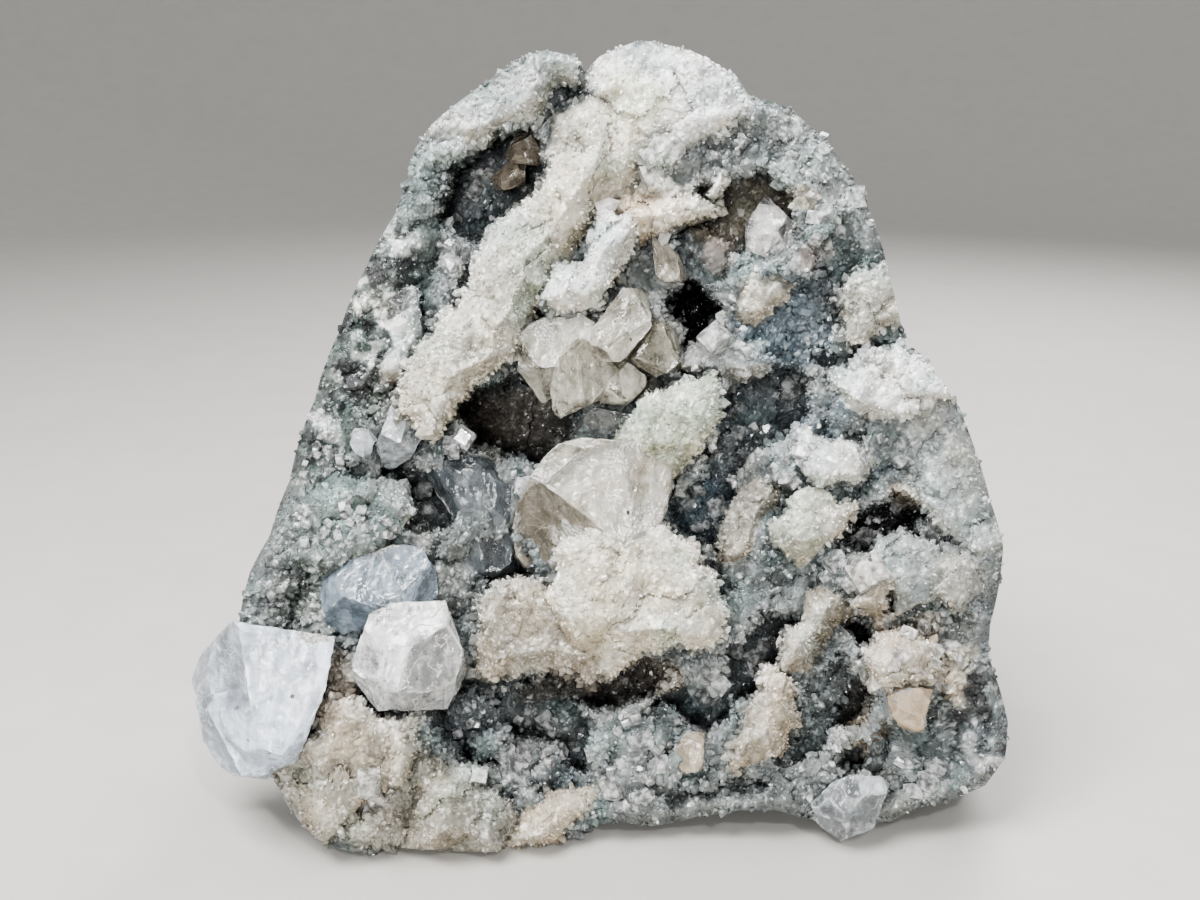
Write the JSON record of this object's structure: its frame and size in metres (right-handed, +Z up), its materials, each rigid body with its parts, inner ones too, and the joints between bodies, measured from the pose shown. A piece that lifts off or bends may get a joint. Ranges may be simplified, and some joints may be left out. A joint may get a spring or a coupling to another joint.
{
  "type": "mineral specimen",
  "caption": "Standing block of drusy quartz rock with blocky, clear to milky apophyllite crystals grown on its face; decorative, rests on a flat base.",
  "frame": {"origin": "middle of the base plane on which the specimen stands", "axes": "+Z up, the crystal face looks along -Y, +X is to the right of someone who faces it"},
  "size_m": [0.2094, 0.0942, 0.1913],
  "materials": {
    "matrix": "rough, sugary quartz druse over dark rock",
    "corner_crystal": "glassy, bluish white",
    "knuckle_crystal": "glassy, milky white",
    "blue_tablet": "glassy, striated, pale blue",
    "twin_crystals": "glassy, clear to white",
    "smoky_crystal": "glassy, grey blue",
    "centre_cluster": "frosted, warm white",
    "hanging_crystals": "glassy, clear cream",
    "clear_slab": "glassy, grey brown",
    "tip_shadow_crystal": "glassy, grey",
    "pyramid_crystal": "glassy, clear",
    "crown_crystal": "glassy, clear",
    "pit_crystals": "glassy, tan",
    "peach_crystal": "glassy, peach",
    "toe_crystal": "glassy, clear",
    "hex_crystal": "glassy, tan"
  },
  "bodies": {
    "root": {"matrix": "matrix", "corner_crystal": "corner_crystal", "knuckle_crystal": "knuckle_crystal", "blue_tablet": "blue_tablet", "twin_crystals": "twin_crystals", "smoky_crystal": "smoky_crystal", "centre_cluster": "centre_cluster", "hanging_crystals": "hanging_crystals", "clear_slab": "clear_slab", "tip_shadow_crystal": "tip_shadow_crystal", "pyramid_crystal": "pyramid_crystal", "crown_crystal": "crown_crystal", "pit_crystals": "pit_crystals", "peach_crystal": "peach_crystal", "toe_crystal": "toe_crystal", "hex_crystal": "hex_crystal"}
  },
  "joints": []
}
